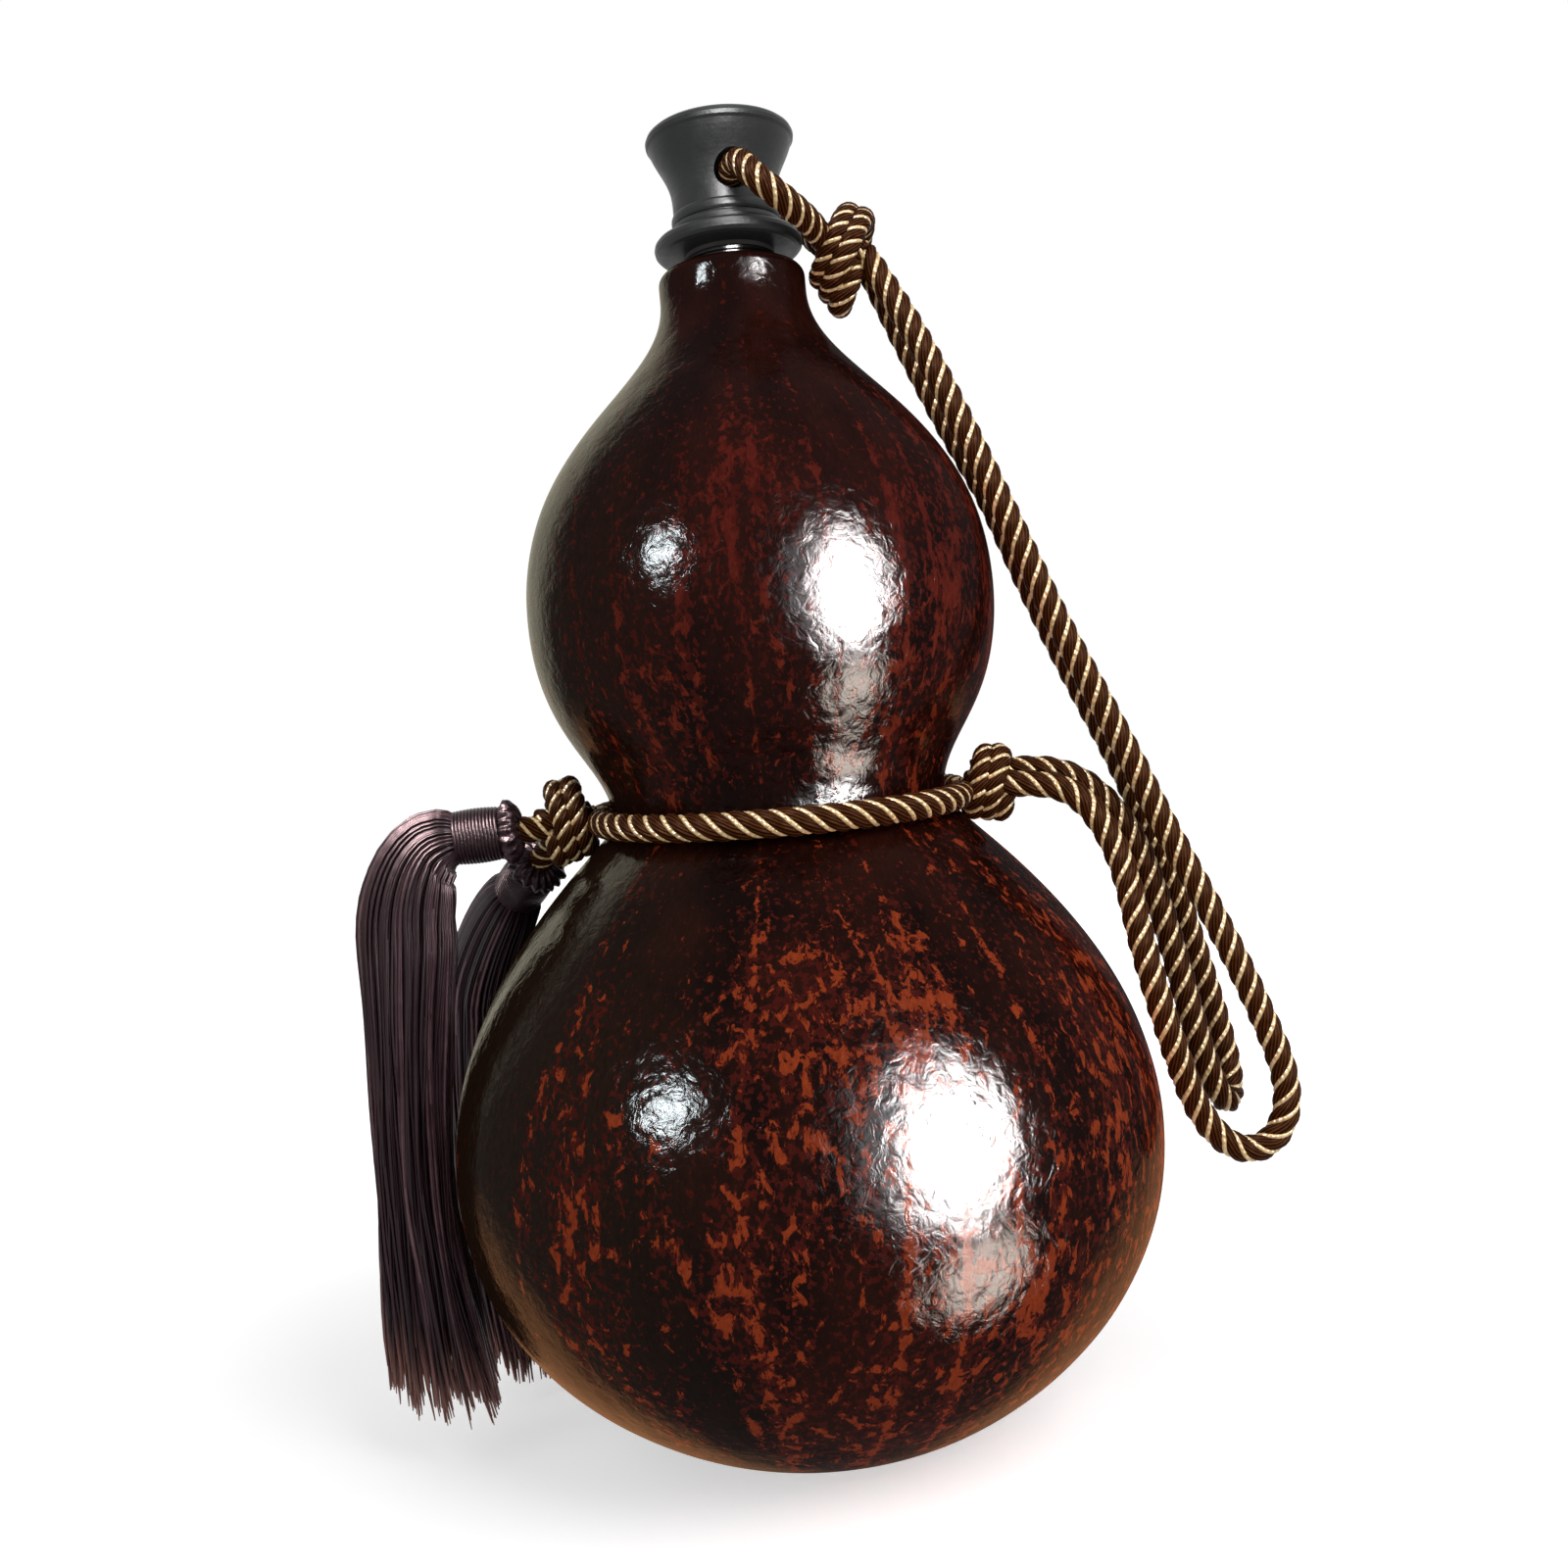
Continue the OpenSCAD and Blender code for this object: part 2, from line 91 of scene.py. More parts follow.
def spline(points):
    """A smooth curve through the points, as a fine list of points."""
    points = [Vector(p) for p in points]
    points = [2 * points[0] - points[1]] + points + [2 * points[-1] - points[-2]]
    curve = []
    for a, b, c, d in zip(points, points[1:], points[2:], points[3:]):
        for i in range(SPLINE_STEPS):
            t = i / SPLINE_STEPS
            curve.append(0.5 * (2 * b + (c - a) * t + (2 * a - 5 * b + 4 * c - d) * t * t
                                + (3 * b - a - 3 * c + d) * t ** 3))
    curve.append(points[-2])
    return curve


def even(points, step):
    """The same path with its points an even step apart."""
    gone = [0.0]
    for a, b in zip(points, points[1:]):
        gone.append(gone[-1] + (b - a).length)
    count = max(2, round(gone[-1] / step))
    path, k = [], 0
    for i in range(count + 1):
        want = gone[-1] * i / count
        while k < len(points) - 2 and gone[k + 1] < want:
            k += 1
        share = (want - gone[k]) / max(gone[k + 1] - gone[k], 1e-9)
        path.append(points[k].lerp(points[k + 1], share))
    return path


def relax(path, passes):
    """The path with its small kinks smoothed out and its ends kept."""
    for _ in range(passes):
        middle = [(a + 2 * b + c) / 4 for a, b, c in zip(path, path[1:], path[2:])]
        path = [path[0]] + middle + [path[-1]]
    return path


def path_length(path):
    return sum((b - a).length for a, b in zip(path, path[1:]))


def ring_frames(path):
    """Two directions square to the path at each point, turning as little as they can."""
    last = len(path) - 1
    frames = []
    side = None
    for i in range(len(path)):
        ahead = (path[min(i + 1, last)] - path[max(i - 1, 0)]).normalized()
        if side is None:
            side = ahead.orthogonal().normalized()
        side = (side - ahead * side.dot(ahead)).normalized()
        frames.append((side, ahead.cross(side)))
    return frames


class Shape:
    """Points, faces, map coordinates and tones of one mesh that is being built."""

    def __init__(self):
        self.points, self.faces, self.slots, self.coords, self.tones = [], [], [], [], []

    def ring(self, points, tone=(0, 0)):
        first = len(self.points)
        self.points.extend(points)
        self.tones.extend([tone] * len(points))
        return first

    def face(self, corners, coords, slot):
        self.faces.append(corners)
        self.coords.extend(coords)
        self.slots.append(slot)

    def wall(self, low, high, sides, v0, v1, slot):
        """Faces between two rings of the same number of points."""
        for k in range(sides):
            n = (k + 1) % sides
            u0, u1 = k / sides, (k + 1) / sides
            self.face((low + k, low + n, high + n, high + k),
                      ((u0, v0), (u1, v0), (u1, v1), (u0, v1)), slot)

    def lid(self, ring, sides, v, slot, flip):
        corners = [ring + k for k in range(sides)]
        if flip:
            corners.reverse()
        self.face(tuple(corners), [(0.5, v)] * sides, slot)

    def tube(self, path, radius, sides, slot=0, tone=(0, 0)):
        """A closed tube along the path. radius and tone may be lists with a value for each point."""
        frames = ring_frames(path)
        gone, rings = 0.0, []
        for i, (point, (a, b)) in enumerate(zip(path, frames)):
            if i:
                gone += (point - path[i - 1]).length
            r = radius[i] if isinstance(radius, list) else radius
            shade = tone[i] if isinstance(tone, list) else tone
            ring = [point + r * (math.cos(TAU * k / sides) * a + math.sin(TAU * k / sides) * b)
                    for k in range(sides)]
            rings.append((self.ring(ring, shade), gone))
        for (low, v0), (high, v1) in zip(rings, rings[1:]):
            self.wall(low, high, sides, v0, v1, slot)
        self.lid(rings[0][0], sides, 0, slot, True)
        self.lid(rings[-1][0], sides, gone, slot, False)

    def build(self, name, materials):
        mesh = bpy.data.meshes.new(name)
        mesh.from_pydata(self.points, [], self.faces)
        for material in materials:
            mesh.materials.append(material)
        mesh.polygons.foreach_set("material_index", self.slots)
        mesh.polygons.foreach_set("use_smooth", [True] * len(self.faces))
        layer = mesh.uv_layers.new(name="along")
        layer.data.foreach_set("uv", [value for pair in self.coords for value in pair])
        if any(tone != (0, 0) for tone in self.tones):
            tones = mesh.color_attributes.new("tone", "FLOAT_COLOR", "POINT")
            tones.data.foreach_set("color", [value for tone in self.tones for value in (*tone, 0, 1)])
        mesh.update()
        thing = bpy.data.objects.new(name, mesh)
        bpy.context.collection.objects.link(thing)
        return thing


# Twisted cord: three plies laid up right-handed, with a gold thread in each groove between them.
# Its radius on the strap and waist, and where a knot squeezes it
CORD_R, KNOT_CORD_R = 0.00265, 0.0025
LAY_LENGTH = 0.0125
PLIES = 3
# Shares of the cord's radius: a ply's, a gold thread's, and how far out that thread runs
PLY_SHARE, GOLD_SHARE, GOLD_REACH = 0.464, 0.175, 0.735
PLY_SIDES, GOLD_SIDES = 12, 8
RINGS_PER_LAY = 18
# The tighter lay of the stopper's loop and the tassel cords, and of the knots
LOOP_TWIST, KNOT_TWIST = 0.74, 0.68
# How far a strand of the strap runs on into the knots at its ends
TUCKED = 0.008


def rope(shape, path, radius=CORD_R, start=0.0, twist=1.0):
    """Adds a length of the cord along the path. twist is its share of the common lay length.
    Returns the turn at which it ends."""
    lay = LAY_LENGTH * twist * radius / CORD_R
    path = even(path, lay / RINGS_PER_LAY)
    frames = ring_frames(path)
    step = path_length(path) / (len(path) - 1)

    def strand(reach, turn):
        points = []
        for i, (point, (a, b)) in enumerate(zip(path, frames)):
            angle = TAU * (turn + start + i * step / lay)
            points.append(point + reach * radius * (math.cos(angle) * a + math.sin(angle) * b))
        return points

    for ply in range(PLIES):
        shape.tube(strand(1 - PLY_SHARE, ply / PLIES), PLY_SHARE * radius, PLY_SIDES, slot=0)
        shape.tube(strand(GOLD_REACH, (ply + 0.5) / PLIES), GOLD_SHARE * radius, GOLD_SIDES, slot=1)
    return start + path_length(path) / lay


# Routes of the two strands of the strap, from the knot at the waist down, round and up

OUTER_ROUTE = [
    (0.0460, -0.0076, 0.1186), (0.0520, -0.0086, 0.1180), (0.0575, -0.0100, 0.1145),
    (0.0625, -0.0130, 0.1030), (0.0642, -0.0160, 0.0880), (0.0672, -0.0170, 0.0720),
    (0.0720, -0.0140, 0.0560), (0.0770, -0.0130, 0.0484), (0.0830, -0.0124, 0.0460),
    (0.0886, -0.0120, 0.0504), (0.0898, -0.0120, 0.0590), (0.0870, -0.0120, 0.0695),
    (0.0825, -0.0115, 0.0825), (0.0775, -0.0100, 0.0955), (0.0720, -0.0085, 0.1090),
    (0.0670, -0.0080, 0.1220), (0.0615, -0.0080, 0.1350), (0.0560, -0.0080, 0.1480),
    (0.0510, -0.0080, 0.1615), (0.0460, -0.0074, 0.1755), (0.0410, -0.0066, 0.1890),
    (0.0364, -0.0058, 0.2010), (0.0324, -0.0046, 0.2105), (0.0296, -0.0037, 0.2162)]
INNER_ROUTE = [
    (0.0460, -0.0020, 0.1214), (0.0530, -0.0018, 0.1210), (0.0600, -0.0020, 0.1174),
    (0.0670, -0.0040, 0.1070), (0.0710, -0.0062, 0.0910), (0.0736, -0.0070, 0.0760),
    (0.0764, -0.0066, 0.0620), (0.0794, -0.0046, 0.0546), (0.0824, -0.0004, 0.0534),
    (0.0834, 0.0036, 0.0606), (0.0818, 0.0050, 0.0715), (0.0790, 0.0045, 0.0840),
    (0.0755, 0.0030, 0.0970), (0.0710, 0.0015, 0.1095), (0.0665, 0.0004, 0.1220),
    (0.0610, 0.0, 0.1350), (0.0558, 0.0, 0.1480), (0.0508, 0.0, 0.1615),
    (0.0464, 0.0012, 0.1750), (0.0404, 0.0020, 0.1885), (0.0354, 0.0028, 0.2010),
    (0.0318, 0.0034, 0.2105), (0.0298, 0.0035, 0.2158)]

# Cord through the stopper's hole, from its knot in front of the head and back behind it
HOLE_MID = Vector((0, 0, 0.2392))
HOLE_TURN = math.radians(12)
HOLE_WAY = Vector((math.sin(HOLE_TURN), -math.cos(HOLE_TURN), 0))
HOLE_HALF = 0.0125
LOOP_FRONT = [
    (0.0184, -0.0050, 0.2260), (0.0164, -0.0094, 0.2270), (0.0140, -0.0136, 0.2282),
    (0.0112, -0.0170, 0.2296), (0.0086, -0.0188, 0.2314), (0.0060, -0.0186, 0.2340),
    (0.0040, -0.0162, 0.2374)]
LOOP_REAR = [
    (-0.0028, 0.0160, 0.2390), (-0.0008, 0.0188, 0.2392), (0.0040, 0.0200, 0.2390),
    (0.0090, 0.0186, 0.2382), (0.0136, 0.0150, 0.2364), (0.0166, 0.0105, 0.2332),
    (0.0183, 0.0056, 0.2290)]

# Gourd: radii and heights of its rings, and how its curves leave them
BASE_R, BASE_RUN = 0.024, 0.004
BELLY_R, BELLY_Z = 0.0675, 0.0543
WAIST_R, WAIST_Z = 0.0322, 0.118
CROWN_R, CROWN_Z = 0.0453, 0.1577
NECK_R, NECK_Z, NECK_LEN = 0.0143, 0.218, 0.0028
LIP = 0.002
SHELL = 0.0045
SCAR_R, SCAR_DEPTH = 0.009, 0.0014
SLEEVE_SEAT_R = 0.00905
SLEEVE_FOOT = 0.2028
MOUTH_Z = NECK_Z + NECK_LEN + LIP


def gourd_line(fine):
    """Outside of the gourd as (radius, height), from the base's edge to the neck."""
    def ring(radius, height):
        return Vector((radius, height))
    low, waist, high = WAIST_Z - BELLY_Z, CROWN_Z - WAIST_Z, NECK_Z - CROWN_Z
    return (
        bezier(ring(BASE_R, 0), ring(BASE_R + BASE_RUN, 0),
               ring(BELLY_R, BELLY_Z * 0.28), ring(BELLY_R, BELLY_Z), 14 * fine)
        + bezier(ring(BELLY_R, BELLY_Z), ring(BELLY_R, BELLY_Z + low * 0.585),
                 ring(WAIST_R, WAIST_Z - low * 0.06), ring(WAIST_R, WAIST_Z), 18 * fine)
        + bezier(ring(WAIST_R, WAIST_Z), ring(WAIST_R, WAIST_Z + waist * 0.3),
                 ring(CROWN_R, CROWN_Z - waist * 0.6), ring(CROWN_R, CROWN_Z), 14 * fine)
        + bezier(ring(CROWN_R, CROWN_Z), ring(CROWN_R, CROWN_Z + high * 0.576),
                 ring(NECK_R, NECK_Z - high * 0.295), ring(NECK_R, NECK_Z), 18 * fine)
        + [ring(NECK_R, NECK_Z)])


GOURD_LINE = gourd_line(4)
# The waist cord's middle above the waist's ring, its dip in front, and its gap from the gourd
WAIST_RISE, WAIST_DIP, REST_GAP = 0.0008, 0.003, 0.0001
WAIST_STEPS = 48


def clear_of_gourd(z, reach):
    """Radius at which a round cord whose middle is at height z lies on the gourd."""
    return max(p.x + math.sqrt(reach * reach - (p.y - z) ** 2) for p in GOURD_LINE if abs(p.y - z) < reach)


def waist_point(turn):
    z = WAIST_Z + WAIST_RISE + WAIST_DIP * (math.sin(turn) - 0.1 * math.cos(turn))
    r = clear_of_gourd(z, CORD_R + REST_GAP)
    return Vector((r * math.cos(turn), r * math.sin(turn), z))


def waist_path(start, end):
    return [waist_point(math.radians(start + (end - start) * i / WAIST_STEPS))
            for i in range(WAIST_STEPS + 1)]


# Knots, each along its own +Z with +X down

def about(axis, degrees):
    return Matrix.Rotation(math.radians(degrees), 4, axis)


STOPPER_KNOT = Matrix.Translation((0.0174, 0, 0.2259)) @ about("Y", 106)
KNOT_START = WAIST_R + 0.0037
KNOT_LIFT = 0.0016


def waist_knot_place(turn):
    return about("Z", turn) @ Matrix.Translation((KNOT_START, 0, WAIST_Z + KNOT_LIFT)) @ about("Y", 90)


STRAP_KNOT_TURN, TASSEL_KNOT_TURN = -6, 184
STRAP_KNOT = waist_knot_place(STRAP_KNOT_TURN)
TASSEL_KNOT = waist_knot_place(TASSEL_KNOT_TURN)


TURNS_PER_KNOT = 2
STEPS_PER_TURN = 40
# Degrees within which each end of the turns is drawn into the knot
TURN_TUCK = 75


def knot_turns(place, wraps, deep, front, lean):
    """Path of the turns of a knot. wraps holds the half height and the drop of its first and last turn.
    front is -1 or 1, the side of local Y that shows, and lean tilts each turn along the knot."""
    steps = STEPS_PER_TURN * TURNS_PER_KNOT
    whole = 360 * TURNS_PER_KNOT
    path = []
    for i in range(-steps // 5, steps + steps // 5 + 1):
        share = i / steps
        angle = math.radians(whole * share)
        inside = max(0.0, -share, share - 1) * whole / TURN_TUCK
        mix = min(1, max(0, share))
        tall = wraps[0][0] * (1 - mix) + wraps[1][0] * mix - KNOT_CORD_R
        down = wraps[0][1] * (1 - mix) + wraps[1][1] * mix
        draw = 1 - 0.75 * min(1, inside) ** 1.5
        along = KNOT_CORD_R * (1 + 2 * share * (TURNS_PER_KNOT - 1))
        x = tall * draw * math.cos(angle)
        path.append(place @ Vector((down + x, front * (deep - KNOT_CORD_R) * draw * math.sin(angle),
                                    along - lean * x)))
    return path


def through(place, points):
    return [place @ Vector(p) for p in points]


# Materials

class Shader:
    """A material, with short ways to add its nodes and join them."""

    def __init__(self, name):
        self.material = bpy.data.materials.new(name)
        self.material.use_nodes = True
        self.tree = self.material.node_tree
        self.surface = self.tree.nodes["Principled BSDF"]

    def set(self, **values):
        for name, value in values.items():
            self.surface.inputs[name.replace("_", " ")].default_value = value

    def add(self, kind, *feeds, **values):
        """A node of a kind. feeds join to its first inputs, where None leaves one out."""
        node = self.tree.nodes.new("ShaderNode" + kind)
        for name, value in values.items():
            if hasattr(node, name):
                setattr(node, name, value)
            else:
                node.inputs[name.replace("_", " ").title()].default_value = value
        for socket, feed in zip(node.inputs, feeds):
            self.feed(feed, socket)
        return node

    def feed(self, source, socket):
        if source is None:
            return
        if isinstance(source, (int, float, tuple)):
            socket.default_value = source
        elif isinstance(source, bpy.types.Node):
            self.tree.links.new(source.outputs[0], socket)
        else:
            self.tree.links.new(source, socket)

    def math(self, operation, a, b=None):
        return self.add("Math", a, b, operation=operation)

    def noise(self, where, scale, detail=3, roughness=0.5, distortion=0):
        return self.add("TexNoise", where, scale=scale, detail=detail, roughness=roughness,
                        distortion=distortion)

    def stretch(self, where, x, y, z):
        node = self.add("Mapping", where)
        node.inputs["Scale"].default_value = (x, y, z)
        return node

    def ramp(self, share, *stops):
        node = self.add("ValToRGB", share)
        elements = node.color_ramp.elements
        while len(elements) < len(stops):
            elements.new(0.5)
        for element, (place, value) in zip(elements, stops):
            element.position = place
            element.color = (value, value, value, 1) if isinstance(value, (int, float)) else (*value, 1)
        return node

    def mix(self, share, a, b):
        """A mix of two colours or nodes."""
        node = self.add("Mix", share, data_type="RGBA")
        for socket, source in ((node.inputs[6], a), (node.inputs[7], b)):
            if isinstance(source, tuple):
                socket.default_value = (*source, 1)
            else:
                self.feed(source, socket)
        return node.outputs[2]

    def bump(self, height, distance, strength=1.0):
        node = self.add("Bump", strength=strength, distance=distance)
        self.feed(height, node.inputs["Height"])
        return node

    def here(self):
        return self.add("TexCoord").outputs["Object"]

    def join(self, name, source):
        self.feed(source, self.surface.inputs[name])


# Radius at which the gourd's streams and grain are laid out, whatever the radius there
MEAN_R = 0.055


def lacquer():
    """Near-black mahogany with brick-red mottling in streams down the meridians, under a rippled gloss."""
    s = Shader("lacquered_gourd")
    where = s.here()
    level = s.add("VectorMath", where, (1, 1, 0), operation="MULTIPLY")
    ring = s.add("VectorMath", s.add("VectorMath", level, operation="NORMALIZE"), operation="SCALE")
    ring.inputs["Scale"].default_value = MEAN_R
    rise = s.add("VectorMath", where, (0, 0, 1), operation="MULTIPLY")
    skin = s.add("VectorMath", ring, rise, operation="ADD")
    height = s.add("SeparateXYZ", where).outputs[2]
    up = s.add("MapRange", height, 0.10, 0.16, 0.0, 1.0)
    neck = s.add("MapRange", height, 0.17, 0.215, 0.0, 1.0)

    def scaled(source, share):
        return s.math("MULTIPLY", s.math("SUBTRACT", source, 0.5), share)

    across = s.add("SeparateXYZ", where).outputs[0]
    # Towards -X the red patches thin out and the ground turns olive-brown: partly sparser mottling, partly
    # painted shade and painted olive reflection on the side away from the light.
    plain = s.add("MapRange", across, -0.010, -0.040, 0.0, 1.0)
    crease = s.ramp(s.add("MapRange", height, 0.08, 0.13, 0.0, 1.0),
                    (0.1, 0.0), (0.66, 1.0), (0.78, 1.0), (0.86, 0.0))
    streams = s.ramp(s.noise(s.stretch(skin, 1, 1, 0.10), 62, 2, 0.5), (0.45, 0.0), (0.50, 1.0), (0.55, 0.0))
    drift = scaled(s.noise(s.stretch(skin, 1, 1, 0.5), 38, 2, 0.5), 0.36)
    bare = s.math("ADD", s.math("MULTIPLY", neck, 0.17),
                  s.math("ADD", s.math("MULTIPLY", plain, 0.15), s.math("MULTIPLY", crease, 0.07)))
    density = s.math("SUBTRACT", s.math("ADD", s.math("MULTIPLY", streams, 0.115), drift), bare)
    blots = s.noise(s.stretch(where, 1, 1, 0.58), 430, 5, 0.66, 0.4)
    specks = s.noise(s.stretch(where, 1, 1, 0.8), 850, 3, 0.6)
    mask = s.math("ADD", blots, density)
    dust = s.math("ADD", specks, s.math("MULTIPLY", density, 0.9))
    depth = s.ramp(s.noise(s.stretch(where, 1, 1, 0.4), 60, 3, 0.6), (0.40, 0.0), (0.62, 1.0))
    dark = s.mix(up, (0.0075, 0.0020, 0.0012), (0.0110, 0.0030, 0.0024))
    warm = s.mix(up, (0.0280, 0.0060, 0.0030), (0.0280, 0.0062, 0.0042))
    # Towards -X the ground takes an olive-brown painted reflection of the shaded side.
    ground = s.mix(plain, s.mix(depth, dark, warm), (0.0190, 0.0095, 0.0055))
    dusty = s.mix(s.ramp(dust, (0.53, 0.0), (0.58, 1.0)), ground, (0.070, 0.0080, 0.0048))
    patch = s.mix(up, (0.30, 0.043, 0.0110), (0.115, 0.0130, 0.0080))
    edge = s.mix(s.ramp(mask, (0.555, 0.0), (0.575, 0.6)), dusty, (0.105, 0.012, 0.006))
    colour = s.mix(s.ramp(mask, (0.586, 0.0), (0.604, 1.0)), edge, patch)
    grain = s.noise(s.stretch(skin, 1, 1, 0.5), 1400, 3, 0.7)
    tinted = s.add("Mix", 1.0, data_type="RGBA", blend_type="MULTIPLY")
    s.feed(colour, tinted.inputs[6])
    s.feed(s.ramp(grain, (0.3, 0.55), (0.7, 1.0)), tinted.inputs[7])
    s.join("Base Color", tinted.outputs[2])
    wrinkle = s.noise(where, 420, 4, 0.55, 0.9)
    ripple = s.math("ADD", s.noise(where, 110, 2, 0.5), s.math("MULTIPLY", wrinkle, 0.40))
    wave = s.bump(ripple, 0.0007, 0.5)
    s.join("Normal", wave)
    s.join("Coat Normal", wave)
    s.set(Roughness=0.55, Specular_IOR_Level=0.0, Coat_Weight=0.036, Coat_Roughness=0.10, Coat_IOR=1.8)
    return s.material


def silk_cord():
    """Chocolate silk: fine filaments along each ply, every other one painted lighter, a painted sheen where
    they would catch the light.
    """
    s = Shader("brown_cord")
    where = s.here()
    parts = s.add("SeparateXYZ", s.add("UVMap", uv_map="along"))
    turns = s.math("ADD", s.math("MULTIPLY", parts.outputs[0], 12 * TAU),
                   s.math("MULTIPLY", parts.outputs[1], TAU * 260))
    threads = s.math("MULTIPLY_ADD", s.math("SINE", turns), 0.5)
    threads.inputs[2].default_value = 0.5
    patchy = s.noise(where, 900, 3, 0.6)
    share = s.math("ADD", s.math("MULTIPLY", threads, 0.55), s.math("MULTIPLY", patchy, 0.45))
    # Near-black to pale brown across the filaments: the pale ones are a painted sheen.
    s.join("Base Color", s.ramp(share, (0.15, (0.009, 0.0024, 0.0008)), (0.5, (0.030, 0.0080, 0.0022)),
                                (0.85, (0.125, 0.038, 0.0105))))
    s.join("Normal", s.bump(threads, 0.00012, 0.8))
    s.set(Roughness=0.40, Specular_IOR_Level=0.015, Specular_Tint=(1.0, 0.62, 0.38, 1))
    return s.material


def gold_thread():
    """Pale gold thread with its own fine twist."""
    s = Shader("gold_thread")
    where = s.here()
    parts = s.add("SeparateXYZ", s.add("UVMap", uv_map="along"))
    turns = s.math("ADD", s.math("MULTIPLY", parts.outputs[0], TAU),
                   s.math("MULTIPLY", parts.outputs[1], TAU * 900))
    twist = s.math("SINE", turns)
    glint = s.noise(where, 1500, 2, 0.5)
    s.join("Base Color", s.ramp(glint, (0.3, (0.70, 0.43, 0.16)), (0.7, (0.98, 0.78, 0.45))))
    s.join("Normal", s.bump(twist, 0.00008, 0.7))
    s.set(Roughness=0.32, Specular_IOR_Level=0.4, Specular_Tint=(1.0, 0.88, 0.70, 1))
    return s.material


SILK_SHEEN = {"Roughness": 0.30, "Specular_IOR_Level": 0.20, "Specular_Tint": (1.0, 0.78, 0.82, 1)}


def plum_silk():
    """Dark plum tassel thread, each strand in a tone of its own, paler at its tip; the palest pinkish strands
    are partly a painted silk sheen.
    """
    s = Shader("plum_silk")
    tone = s.add("SeparateColor", s.add("VertexColor", layer_name="tone"))
    where = s.here()
    patchy = s.noise(where, 260, 3, 0.5)
    share = s.math("ADD", s.math("MULTIPLY", tone.outputs[0], 0.75), s.math("MULTIPLY", patchy, 0.25))
    # The pale pinkish top of the ramp is partly the strands' own tone, partly a painted silk sheen.
    body = s.ramp(share, (0.1, (0.005, 0.0018, 0.003)), (0.45, (0.014, 0.0052, 0.0078)),
                  (0.68, (0.045, 0.020, 0.025)), (0.9, (0.17, 0.095, 0.105)))
    s.join("Base Color", s.mix(tone.outputs[1], body, (0.42, 0.19, 0.15)))
    s.set(**SILK_SHEEN)
    return s.material


def bound_thread():
    """The tassel's thread where it is wound tight round the head."""
    s = Shader("bound_thread")
    where = s.here()
    patchy = s.noise(where, 700, 3, 0.6)
    s.join("Base Color", s.ramp(patchy, (0.3, (0.010, 0.004, 0.006)), (0.6, (0.032, 0.014, 0.018)),
                                (0.8, (0.09, 0.045, 0.05))))
    s.join("Normal", s.bump(s.noise(where, 2600, 2, 0.5), 0.00015, 0.6))
    s.set(**SILK_SHEEN)
    return s.material


def moulded(name, dark, light, rough, fine, coat=0.0, shine=0.5):
    """Plain moulded or turned stuff with faint cloudiness and a fine grain."""
    s = Shader(name)
    where = s.here()
    cloud = s.noise(where, 160, 4, 0.6)
    s.join("Base Color", s.ramp(cloud, (0.3, dark), (0.7, light)))
    s.join("Roughness", s.ramp(s.noise(where, 420, 3, 0.6), (0.3, rough * 0.85), (0.7, min(1, rough * 1.15))))
    s.join("Normal", s.bump(s.noise(where, fine, 3, 0.6), 0.00008, 0.5))
    s.set(Coat_Weight=coat, Coat_Roughness=0.1, Specular_IOR_Level=shine)
    return s.material


def dress(node, material):
    """Gives a CAD node its finish."""
    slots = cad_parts[node].material_slots
    for slot in slots:
        slot.link = "OBJECT"
        slot.material = material


# Pieces

def settle(piece, body, slot, *nodes):
    """Puts a piece on its body and hides the nodes that it stands for. slot, the slot of its finish, is not
    used.
    """
    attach(piece, body)
    if nodes:
        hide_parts(*nodes)
    return piece


def add_strap(name, route, node, cord_skins):
    """One strand of the strap. It runs into the knots at both its ends."""
    path = relax(even(spline(route), 0.002), 6)
    start, end = path[0], path[-1]
    back = (path[0] - path[2]).normalized()
    on = (path[-1] - path[-3]).normalized()
    whole = ([start + back * TUCKED, start + back * (TUCKED / 2)] + path
             + [end + on * (TUCKED / 2), end + on * TUCKED])
    shape = Shape()
    rope(shape, whole)
    piece = shape.build(name, cord_skins)
    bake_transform(piece)
    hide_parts(node)
    return piece


GOURD_SIDES = 256
# The blossom scar's rings, as shares of its radius and of its depth
SCAR_RINGS = ((0.0, 1.0), (0.45, 1.0), (0.55, 0.8), (0.95, 0.1), (1.05, 0.0), (1.8, 0.0))


